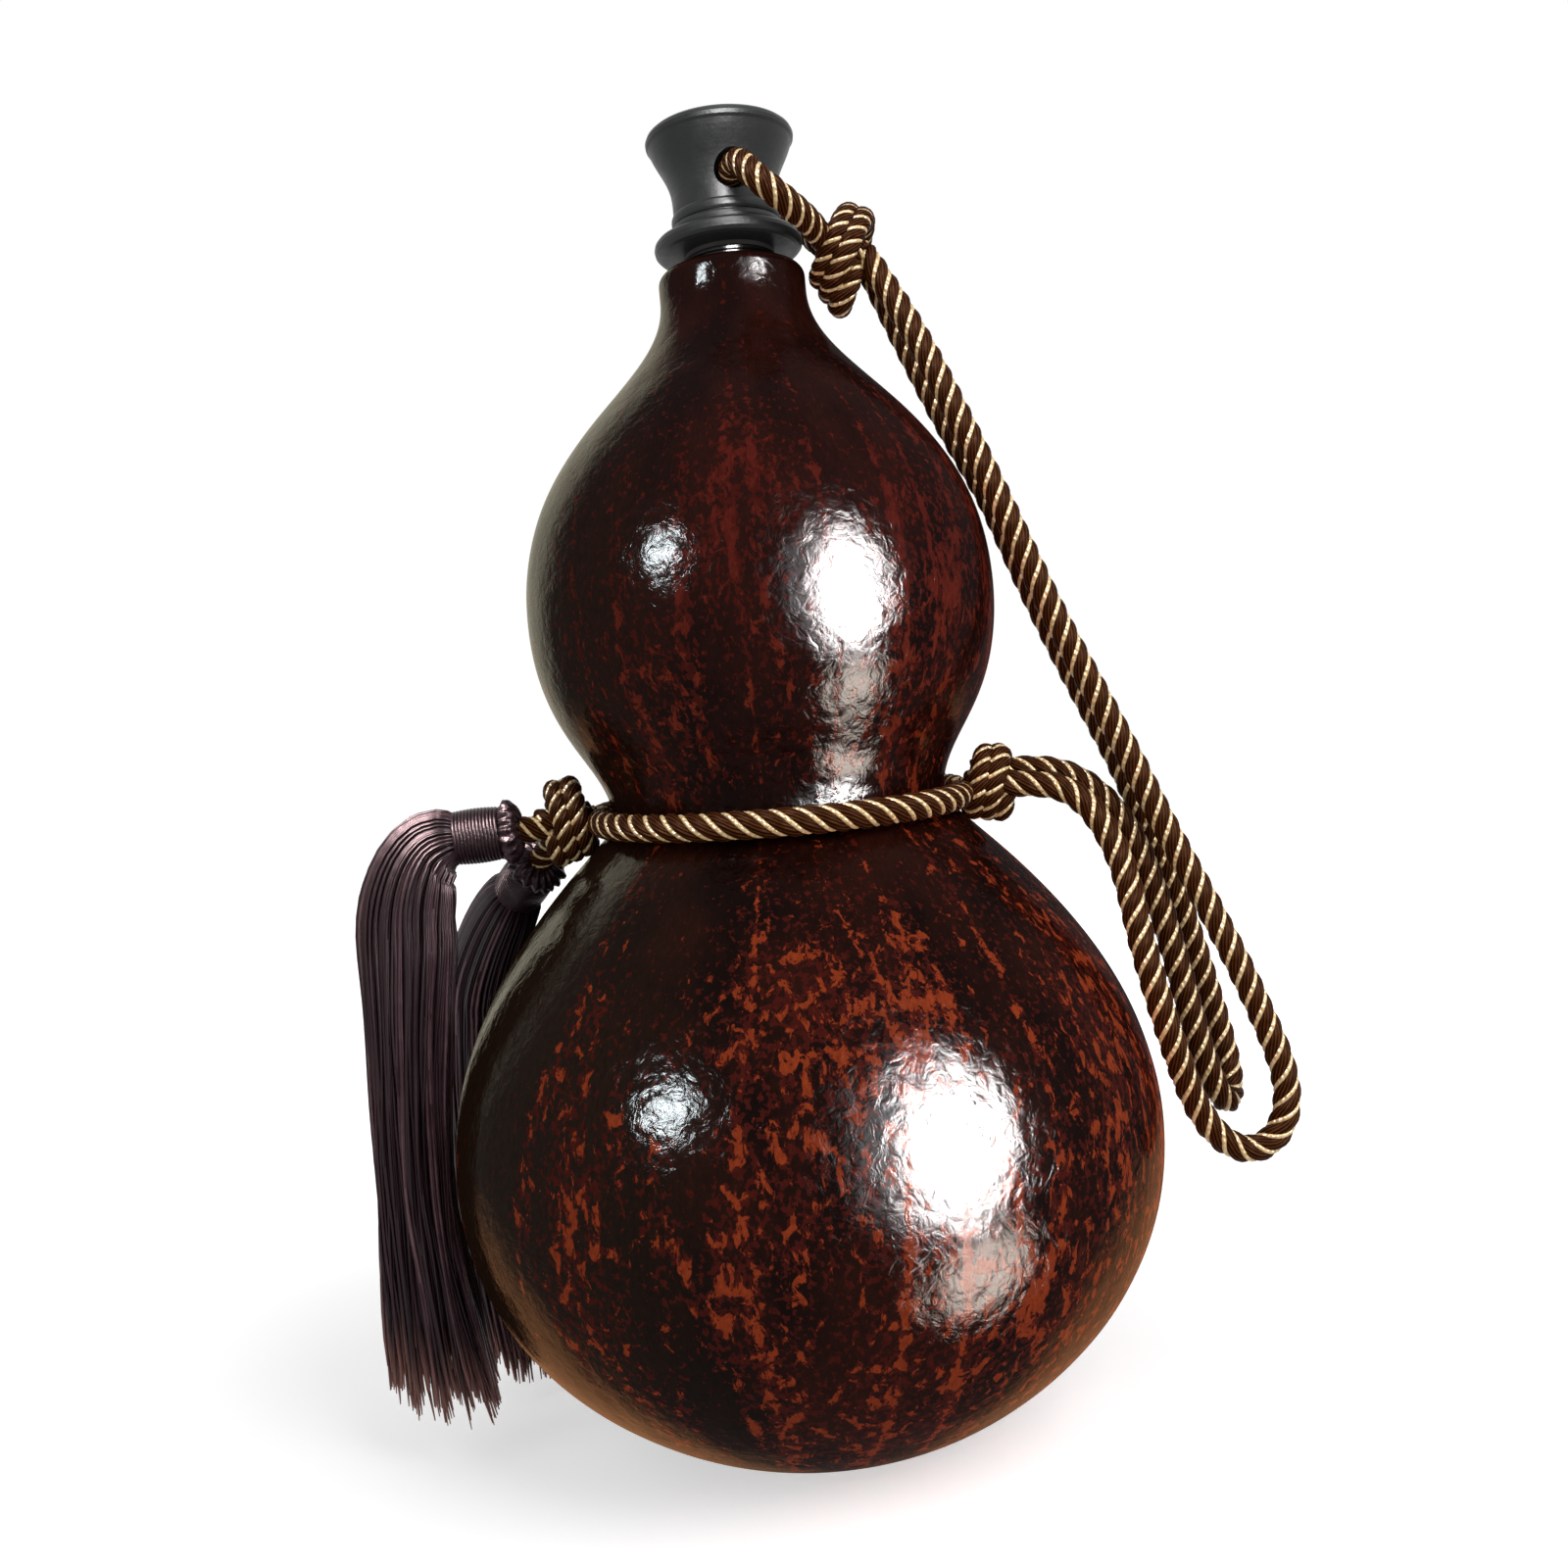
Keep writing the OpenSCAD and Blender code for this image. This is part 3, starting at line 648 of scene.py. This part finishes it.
def add_gourd(skin):
    """The gourd's skin: a revolve with the small unevenness of a dried fruit."""
    sides = GOURD_SIDES
    outer = GOURD_LINE
    scar = [Vector((SCAR_R * out, SCAR_DEPTH * up)) for out, up in SCAR_RINGS]
    neck = [Vector((NECK_R, NECK_Z + NECK_LEN * i / 4)) for i in range(1, 5)]
    lip = [Vector((NECK_R - LIP + LIP * math.cos(a), NECK_Z + NECK_LEN + LIP * math.sin(a)))
           for a in (math.radians(7.5 * i) for i in range(1, 13))]
    mouth = [Vector((NECK_R - LIP - 0.0012, MOUTH_Z)), Vector((SLEEVE_SEAT_R, MOUTH_Z)),
             Vector((SLEEVE_SEAT_R, SLEEVE_FOOT - 0.001))]
    inside = []
    for i in range(len(outer) - 2, 1, -4):
        along = outer[i + 1] - outer[i - 1]
        point = outer[i] + SHELL * Vector((-along.y, along.x)).normalized()
        if SHELL * 1.1 < point.y < SLEEVE_FOOT - 0.0015 and point.x > 0:
            inside.append(point)
    inside.append(Vector((0.0, SHELL)))
    shape = Shape()
    rings = []
    outer_count = len(scar) + len(outer)
    profile = scar + outer + neck + lip + mouth + inside
    for i, p in enumerate(profile):
        if p.x == 0:
            rings.append(shape.ring([Vector((0, 0, p.y))]))
            continue
        ring = []
        for k in range(sides):
            turn = TAU * k / sides
            point = Vector((p.x * math.cos(turn), p.x * math.sin(turn), p.y))
            if len(scar) <= i < outer_count:
                hold = min(1, p.y / 0.01, max(0, (NECK_Z - p.y) / 0.02))
                sway = noise.noise(point * 22) * 0.00035 + noise.noise(point * 75) * 0.00009 - 0.00025
                point += Vector((math.cos(turn), math.sin(turn), 0)) * sway * hold
            ring.append(point)
        rings.append(shape.ring(ring))
    for i, (low, high) in enumerate(zip(rings, rings[1:])):
        if profile[i].x == 0:
            for k in range(sides):
                shape.face((low, high + (k + 1) % sides, high + k), [(0, 0)] * 3, 0)
        elif profile[i + 1].x == 0:
            for k in range(sides):
                shape.face((low + k, low + (k + 1) % sides, high), [(0, 0)] * 3, 0)
        else:
            shape.wall(low, high, sides, profile[i].y, profile[i + 1].y, 0)
    return settle(shape.build("gourd_skin", [skin]), "bottle", "lacquered_gourd", "gourd_shell")


# Tassels, drawn with the cord leaving the knot along +X at the origin

BIND_R, BIND_LEN = 0.0051, 0.0125
CAP_LEN = 0.004
SKIRT_TOP_R, SKIRT_MID_R, SKIRT_FOOT_R, SKIRT_HALF_W = 0.0092, 0.0068, 0.011, 0.0074
SKIRT_FOOT_Z = 0.008
SKIRT_BOW = 0.0024


class Tassel:
    """Where a tassel hangs: the exit of its cord, that cord's turn, slope and length, how far out
    its skirt hangs and how far below the exit the skirt turns down."""

    def __init__(self, name, exit_point, turn, slope, length, out, drop):
        self.name = name
        self.exit = Vector(exit_point)
        self.place = Matrix.Translation(exit_point) @ about("Z", 180 + turn)
        tilt = math.radians(slope)
        self.way = Vector((math.cos(tilt), 0, -math.sin(tilt)))
        self.length, self.out, self.drop = length, out, drop
        self.head = self.place @ Matrix.Translation(self.way * length) @ about("Y", 90 + slope)

    def fall(self):
        """Middle line of the skirt, with its half depth and half width at each point."""
        top = self.way * (self.length + BIND_LEN)
        over = top + self.way * 0.001
        foot = SKIRT_FOOT_Z - self.exit.z
        rings = [(top - self.way * 0.002, BIND_R * 0.86, BIND_R * 0.86),
                 (top, BIND_R * 0.92, BIND_R * 0.92)]
        bend = bezier(over, over + self.way * 0.006, Vector((self.out, 0, self.drop + 0.010)),
                      Vector((self.out, 0, self.drop)), 8)
        for i, point in enumerate(bend):
            swell = math.sin(math.radians(90 * (i + 1) / 9))
            rings.append((point, BIND_R + (SKIRT_TOP_R - BIND_R) * swell,
                          BIND_R + (SKIRT_HALF_W - BIND_R) * swell))
        for i in range(15):
            s = i / 14
            point = Vector((self.out + SKIRT_BOW * math.sin(math.pi * s), 0,
                            self.drop + (foot - self.drop) * s))
            if s < 0.5:
                deep = SKIRT_TOP_R - (SKIRT_TOP_R - SKIRT_MID_R) * math.sin(math.pi * s)
            else:
                deep = SKIRT_MID_R + (SKIRT_FOOT_R - SKIRT_MID_R) * (2 * s - 1) ** 1.5
            rings.append((point, deep, SKIRT_HALF_W))
        return rings


FRONT_TASSEL = Tassel("front_tassel", (-0.0476, -0.0054, 0.1184), 3, 2, 0.0022, 0.0253, -0.020)
REAR_TASSEL = Tassel("rear_tassel", (-0.0457, 0.0026, 0.1142), -52, 30, 0.0045, 0.0354, -0.034)


LOCKS, LOCK_STRANDS, LOOSE_STRANDS = 48, 8, 110
STRAND_R, LOOSE_R = 0.00034, 0.00036
# Tones of the locks; the highest give pale strands that are partly a painted sheen.
LOCK_TONES_AND_SHEEN = (0.12, 0.3, 0.42, 0.75)
CORE_SIDES = 40


def add_skirt(tassel, thread, seed, hang):
    """The skirt of threads, gathered in locks that end raggedly, over a dark core, painted shade that stands
    in for the threads hidden inside it. hang is how far the threads reach past the last ring of its middle
    line, in rings."""
    rng = random.Random(seed)
    rings = tassel.fall()
    last = len(rings) - 1
    level = Vector((0, 1, 0))
    shape = Shape()

    def station(at, reach, q):
        """A point of the skirt: at counts rings from the head, past the last one too."""
        i = min(int(at), last - 1)
        f = at - i
        middle = rings[i][0].lerp(rings[i + 1][0], f)
        deep = rings[i][1] + (rings[i + 1][1] - rings[i][1]) * min(f, 1)
        wide = rings[i][2] + (rings[i + 1][2] - rings[i][2]) * min(f, 1)
        ahead = (rings[min(i + 1, last)][0] - rings[max(i - 1, 0)][0]).normalized()
        a = level.cross(ahead).normalized()
        b = ahead.cross(a)
        return middle + reach * (wide * math.cos(q) * b + deep * math.sin(q) * a)

    def strand(q, reach, start, end, gather, lock_q, seed_at, radius, tone):
        count = max(8, round((end - start) * 1.25))
        points, radii, tones = [], [], []
        for i in range(count + 1):
            at = start + (end - start) * i / count
            t = max(0.0, (at - 6) / (last - 6))
            pull = gather * min(t, 1.1) ** 1.3
            angle = q + (lock_q - q) * pull
            sway = [noise.noise(Vector((seed_at, at * 0.22, depth))) for depth in (0, 9)]
            stray = Vector((*sway, 0))
            point = station(at, reach, angle) + stray * 0.0014 * min(1, t * 1.5)
            points.append(tassel.place @ point)
            left = (end - at) / 1.4
            radii.append(radius * min(1.0, 0.35 + max(0.0, left)))
            tones.append((tone, max(0.0, min(1.0, 1 - left * 1.3)) * 0.75))
        shape.tube(points, radii, 4, tone=tones)

    # The core: a solid in the darkest tone, painted shade inside the skirt where the threads would hide one
    # another.
    core = []
    for i in range(last * 2 - 5):
        ring = []
        for k in range(CORE_SIDES):
            q = TAU * k / CORE_SIDES
            groove = 0.87 + 0.05 * noise.noise(Vector((3 * math.cos(q), 3 * math.sin(q), i * 0.12 + seed)))
            ring.append(tassel.place @ station(i / 2, groove, q))
        core.append(shape.ring(ring))
    for low, high in zip(core, core[1:]):
        shape.wall(low, high, CORE_SIDES, 0, 0, 0)
    shape.lid(core[0], CORE_SIDES, 0, 0, True)
    shape.lid(core[-1], CORE_SIDES, 0, 0, False)

    for lock in range(LOCKS):
        lock_q = TAU * (lock + rng.uniform(-0.25, 0.25)) / LOCKS
        lock_end = last + hang + rng.uniform(-0.8, 0.35) + 0.6 * math.sin(lock_q)
        lock_tone_and_sheen = rng.choice(LOCK_TONES_AND_SHEEN)
        lock_gather = rng.uniform(0.35, 0.9)
        for k in range(LOCK_STRANDS):
            q = lock_q + TAU * rng.uniform(-0.42, 0.42) / LOCKS
            reach = rng.uniform(0.86, 1.0)
            end = lock_end - abs(rng.gauss(0, 0.55))
            strand(q, reach, 0, end, lock_gather, lock_q, lock * 3.7 + k * 0.21 + seed, STRAND_R,
                   min(1, max(0, lock_tone_and_sheen + rng.uniform(-0.2, 0.2))))
    for k in range(LOOSE_STRANDS):
        q = rng.uniform(0, TAU)
        strand(q, rng.uniform(0.1, 0.86), last * 0.7, last + hang + rng.uniform(-1.3, 0.3), 0, q,
               k * 1.3 + seed, LOOSE_R, rng.uniform(0.1, 0.5))
    piece = shape.build(tassel.name + "_threads", [thread])
    return settle(piece, tassel.name, "plum_silk", tassel.name + "_skirt")


# Radius and height of the rings of a tassel's ruffled end, the first few of them in deep folds
RUFFLE_LINE = ((0.0, 0.0), (0.0034, -0.0002), (0.0048, 0.0003), (0.0057, 0.0012), (0.0058, 0.0022),
               (0.0050, 0.0032), (0.0045, 0.0040), (0.0, 0.0040))
RUFFLE_SIDES, RUFFLE_FOLDS, DEEP_RINGS = 96, 17, 5
HEAD_TONE = (0.5, 0)
WINDING_TURNS, WINDING_STEPS = 13, 40
WINDING_R = 0.0004


def add_head(tassel, thread, cord_skins):
    """The ruffled end over the cord, the thread bound round the head, and the cord's last stretch."""
    ruffle = Shape()
    sides = RUFFLE_SIDES
    line = RUFFLE_LINE
    rings = []
    for i, (r, z) in enumerate(line):
        if r == 0:
            rings.append(ruffle.ring([tassel.head @ Vector((0, 0, z))], HEAD_TONE))
            continue
        fold = 0.085 if i < DEEP_RINGS else 0.04
        ring = []
        for k in range(sides):
            q = TAU * k / sides
            folds = RUFFLE_FOLDS * q + 1.2 * math.sin(3 * q)
            wave = 1 + fold * math.sin(folds) + 0.03 * math.sin(5 * q + 1)
            push = 0.0004 * math.sin(folds + 0.8) if i < DEEP_RINGS else 0
            ring.append(tassel.head @ Vector((r * wave * math.cos(q), r * wave * math.sin(q), z + push)))
        rings.append(ruffle.ring(ring, HEAD_TONE))
    for i, (low, high) in enumerate(zip(rings, rings[1:])):
        for k in range(sides):
            n = (k + 1) % sides
            if line[i][0] == 0:
                ruffle.face((low, high + n, high + k), [(0, 0)] * 3, 0)
            elif line[i + 1][0] == 0:
                ruffle.face((low + k, low + n, high), [(0, 0)] * 3, 0)
            else:
                ruffle.face((low + k, low + n, high + n, high + k), [(0, 0)] * 4, 0)
    frill = settle(ruffle.build(tassel.name + "_ruffle", [thread]), tassel.name, "plum_silk",
                   tassel.name + "_cap")

    binding = Shape()
    core = [tassel.head @ Vector((0, 0, z / 1000)) for z in range(4, 13)]
    binding.tube(core, BIND_R - 0.0007, 48, tone=(0.3, 0))
    coil = []
    for i in range(WINDING_TURNS * WINDING_STEPS + 1):
        q = TAU * i / WINDING_STEPS
        share = i / (WINDING_TURNS * WINDING_STEPS)
        z = CAP_LEN - 0.0002 + (BIND_LEN - CAP_LEN) * share
        r = BIND_R - WINDING_R + 0.00025 * math.sin(math.pi * share)
        coil.append(tassel.head @ Vector((r * math.cos(q), r * math.sin(q), z)))
    binding.tube(coil, WINDING_R, 6, tone=HEAD_TONE)
    winding = settle(binding.build(tassel.name + "_winding", [thread]), tassel.name, "plum_silk",
                     tassel.name + "_binding")

    tail = Shape()
    path = [tassel.place @ (tassel.way * x)
            for x in (-0.004, -0.002, 0, tassel.length, tassel.length + 0.002)]
    rope(tail, path, start=0.1, twist=LOOP_TWIST)
    settle(tail.build(tassel.name + "_tail", cord_skins), tassel.name, "brown_cord", tassel.name + "_cord")
    return [frill, winding]


def add_knot(name, node, place, wraps, deep, front, lean, strands, cord_skins, body):
    """A tied knot: turns of cord round the strands that pass through it."""
    shape = Shape()
    turn = rope(shape, knot_turns(place, wraps, deep, front, lean), KNOT_CORD_R, 0, KNOT_TWIST)
    for strand in strands:
        turn = rope(shape, through(place, strand), KNOT_CORD_R, turn + 0.13, KNOT_TWIST)
    return settle(shape.build(name, cord_skins), body, "brown_cord", node)


def cord_piece(name, node, body, path, cord_skins, start=0.0, twist=1.0):
    shape = Shape()
    rope(shape, path, start=start, twist=twist)
    return settle(shape.build(name, cord_skins), body, "brown_cord", node)


# Stage: floor, world and lamps

FLOOR_HALF = 4.0
# The floor's glow, by distance from the bottle's foot
NEAR, FAR = 0.12, 0.45
GLOW_NEAR, GLOW_FAR = 0.55, 1.0
# The world's level where nothing looks at it directly
FILL = 0.32
AIM = Vector((0, 0, 0.11))


def seen_directly(tree):
    """1 on rays from the camera and on those that gloss or glass sends on, 0 on others."""
    rays = tree.nodes.new("ShaderNodeLightPath")
    seen = rays.outputs["Is Camera Ray"]
    for other in ("Is Glossy Ray", "Is Transmission Ray"):
        either = tree.nodes.new("ShaderNodeMath")
        either.operation = "MAXIMUM"
        tree.links.new(seen, either.inputs[0])
        tree.links.new(rays.outputs[other], either.inputs[1])
        seen = either.outputs[0]
    return seen


def add_floor():
    """A plain pale floor that glows a little where it is looked at, so that it meets the white behind."""
    mesh = bpy.data.meshes.new("floor")
    corners = [(x * FLOOR_HALF, y * FLOOR_HALF, 0) for x, y in ((-1, -1), (1, -1), (1, 1), (-1, 1))]
    mesh.from_pydata(corners, [], [(0, 1, 2, 3)])
    floor = bpy.data.objects.new("floor", mesh)
    bpy.context.collection.objects.link(floor)
    s = Shader("floor")
    s.set(Base_Color=(0.8, 0.8, 0.8, 1), Roughness=0.9, Specular_IOR_Level=0.0, Emission_Color=(1, 1, 1, 1))
    away = s.add("VectorMath", s.here(), operation="LENGTH").outputs["Value"]
    glow = s.add("MapRange", away, NEAR, FAR, GLOW_NEAR, GLOW_FAR)
    s.join("Emission Strength", s.math("MULTIPLY", seen_directly(s.tree), glow))
    mesh.materials.append(s.material)
    floor.visible_glossy = False


def add_world():
    """White where the camera, gloss and glass look, and a soft fill for everything else."""
    world = bpy.data.worlds.new("studio")
    world.use_nodes = True
    bpy.context.scene.world = world
    tree = world.node_tree
    back = tree.nodes["Background"]
    back.inputs["Color"].default_value = (1, 1, 1, 1)
    level = tree.nodes.new("ShaderNodeMapRange")
    level.inputs["To Min"].default_value = FILL
    level.inputs["To Max"].default_value = 1.0
    tree.links.new(seen_directly(tree), level.inputs["Value"])
    tree.links.new(level.outputs[0], back.inputs["Strength"])


def add_lamp(name, turn, rise, distance, width, height, glow, only=None, tint=(1, 1, 1)):
    """A flat lamp. turn is its direction from straight ahead, rise its height in degrees, glow its
    brightness, where 1 is white. With only, a group of pieces, it is a window that shines back
    from the gloss of those pieces and lights nothing; without it, a plain soft light."""
    turn, rise = math.radians(turn), math.radians(rise)
    place = AIM + distance * Vector((math.sin(turn) * math.cos(rise), -math.cos(turn) * math.cos(rise),
                                     math.sin(rise)))
    data = bpy.data.lights.new(name, "AREA")
    data.shape = "ELLIPSE" if only else "RECTANGLE"
    data.size, data.size_y = width, height
    data.color = tint
    area = width * height * (math.pi / 4 if only else 1)
    data.energy = glow * math.pi * area
    lamp = bpy.data.objects.new(name, data)
    bpy.context.collection.objects.link(lamp)
    lamp.location = place
    lamp.rotation_euler = (AIM - place).to_track_quat("-Z", "Y").to_euler()
    lamp.visible_camera = False
    if only:
        lamp.visible_diffuse = False
        lamp.light_linking.receiver_collection = only
        soften(data)
    else:
        lamp.visible_glossy = False


def soften(data):
    """Lets a window's brightness fade from half way out to nothing at its rim."""
    data.use_nodes = True
    tree = data.node_tree
    spot = tree.nodes.new("ShaderNodeNewGeometry").outputs["Parametric"]
    out = tree.nodes.new("ShaderNodeVectorMath")
    out.operation = "DISTANCE"
    out.inputs[1].default_value = (0.5, 0.5, 0)
    fade = tree.nodes.new("ShaderNodeMapRange")
    fade.interpolation_type = "SMOOTHSTEP"
    for name, value in (("From Min", 0.5), ("From Max", 0.2), ("To Min", 0.0), ("To Max", 1.0)):
        fade.inputs[name].default_value = value
    tree.links.new(spot, out.inputs[0])
    tree.links.new(out.outputs["Value"], fade.inputs["Value"])
    tree.links.new(fade.outputs[0], tree.nodes["Emission"].inputs["Strength"])


def group(name, pieces):
    """A set of pieces that some lamps shine on."""
    members = bpy.data.collections.new(name)
    for piece in pieces:
        members.objects.link(piece)
    return members


COOL, WARM, AMBER, OLIVE = (0.86, 0.96, 1.0), (1.0, 0.88, 0.78), (1.0, 0.40, 0.13), (1.0, 0.94, 0.70)


def add_lamps(gourd, silk, hard):
    add_lamp("key", 42, 42, 1.2, 0.7, 0.7, 5.6)
    add_lamp("fill", -50, 35, 1.6, 1.0, 1.0, 1.2)
    lacquer_only, silk_only, hard_only = group("lacquer", [gourd]), group("silk", silk), group("hard", hard)
    add_lamp("window", 43, 1, 1.0, 0.80, 1.16, 620, lacquer_only)
    add_lamp("window_edge", 36, 4, 1.01, 1.20, 1.40, 42, lacquer_only, COOL)
    add_lamp("sill", 53, -38, 1.0, 0.62, 0.64, 180, lacquer_only, WARM)
    add_lamp("far_window", -45, 20, 1.4, 0.42, 0.38, 460, lacquer_only, COOL)
    add_lamp("left_sheen", -152, 20, 1.4, 2.0, 2.4, 12, lacquer_only, OLIVE)
    add_lamp("table_left", -143, -34, 1.2, 1.6, 1.2, 11, lacquer_only, AMBER)
    add_lamp("table_right", 143, -34, 1.2, 1.5, 1.1, 9, lacquer_only, AMBER)
    add_lamp("silk_window", -35, 42, 1.0, 1.0, 0.7, 150, silk_only, (1.0, 0.90, 0.88))
    add_lamp("silk_side", 50, 20, 1.0, 0.8, 1.0, 60, silk_only)
    add_lamp("stopper_window", 8, 25, 1.0, 0.6, 1.0, 95, hard_only)


add_camera()
cord_skins = [silk_cord(), gold_thread()]
bound = bound_thread()

stopper_knot = add_knot(
    "stopper_knot_turns", "stopper_knot", STOPPER_KNOT,
    ((0.0088, -0.0012), (0.0108, 0.0014)), 0.0093, -1, 0.16,
    [[(0.0, -0.0036, 0.001), (0.0, -0.0034, 0.009)], [(0.0, 0.0036, 0.001), (0.0, 0.0034, 0.009)]],
    cord_skins, "stopper")
strap_knot = add_knot(
    "strap_knot_turns", "strap_knot", STRAP_KNOT, ((0.0074, 0.0), (0.0076, 0.0004)), 0.0063, -1, 0.2,
    [[(0.0, -0.002, 0.001), (0.0008, -0.002, 0.0095)], [(0.0, 0.002, 0.001), (-0.0012, 0.002, 0.0095)]],
    cord_skins, "bottle")
tassel_knot = add_knot(
    "tassel_knot_turns", "tassel_knot", TASSEL_KNOT, ((0.0082, -0.0006), (0.0086, 0.0008)), 0.0063, 1, 0.12,
    [[(0.0, -0.002, 0.001), (0.0, -0.002, 0.0105)], [(0.0, 0.002, 0.001), (0.0, 0.002, 0.0105)]],
    cord_skins, "bottle")
cords = [stopper_knot, strap_knot, tassel_knot,
         add_strap("outer_strand", OUTER_ROUTE, "outer_strap_cord", cord_skins),
         add_strap("inner_strand", INNER_ROUTE, "inner_strap_cord", cord_skins)]

loop_points = ([(0.0240, -0.0030, 0.2245)] + LOOP_FRONT
               + [HOLE_MID + HOLE_HALF * HOLE_WAY, HOLE_MID, HOLE_MID - HOLE_HALF * HOLE_WAY] + LOOP_REAR
               + [(0.0240, 0.0030, 0.2255)])
loop_path = relax(even(spline(loop_points), 0.001), 4)
cords += [cord_piece("stopper_loop", "stopper_cord_loop", "stopper", loop_path, cord_skins, twist=LOOP_TWIST),
          cord_piece("waist_strand_front", "waist_cord_front", "bottle", waist_path(-12, -168), cord_skins),
          cord_piece("waist_strand_rear", "waist_cord_rear", "bottle", waist_path(0, 178), cord_skins, 0.3)]

gourd = add_gourd(lacquer())
threads = plum_silk()
silk = list(cords)
for tassel, seed, hang in ((FRONT_TASSEL, 11, -0.6), (REAR_TASSEL, 23, 0.35)):
    silk.append(add_skirt(tassel, threads, seed, hang))
    silk += add_head(tassel, bound, cord_skins)

charcoal = moulded("stopper_black", (0.017, 0.0185, 0.0185), (0.026, 0.0275, 0.028), 0.40, 1800, shine=0.2)
gloss_black = moulded("sleeve_black", (0.006, 0.008, 0.007), (0.011, 0.013, 0.012), 0.16, 900,
                      coat=0.25, shine=0.2)
rubber = moulded("seal_rubber", (0.05, 0.045, 0.042), (0.08, 0.072, 0.068), 0.7, 1500)
wax = moulded("wax", (0.50, 0.36, 0.16), (0.62, 0.46, 0.22), 0.45, 700)
dress("stopper_head", charcoal)
dress("stopper_plug", charcoal)
dress("mouth_sleeve", gloss_black)
for seal in ("flange_gasket", "upper_seal_ring", "lower_seal_ring"):
    dress(seal, rubber)
dress("wax_lining", wax)

add_floor()
add_world()
add_lamps(gourd, silk, [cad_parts["stopper_head"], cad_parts["mouth_sleeve"]])
bpy.context.scene.view_settings.view_transform = "Standard"
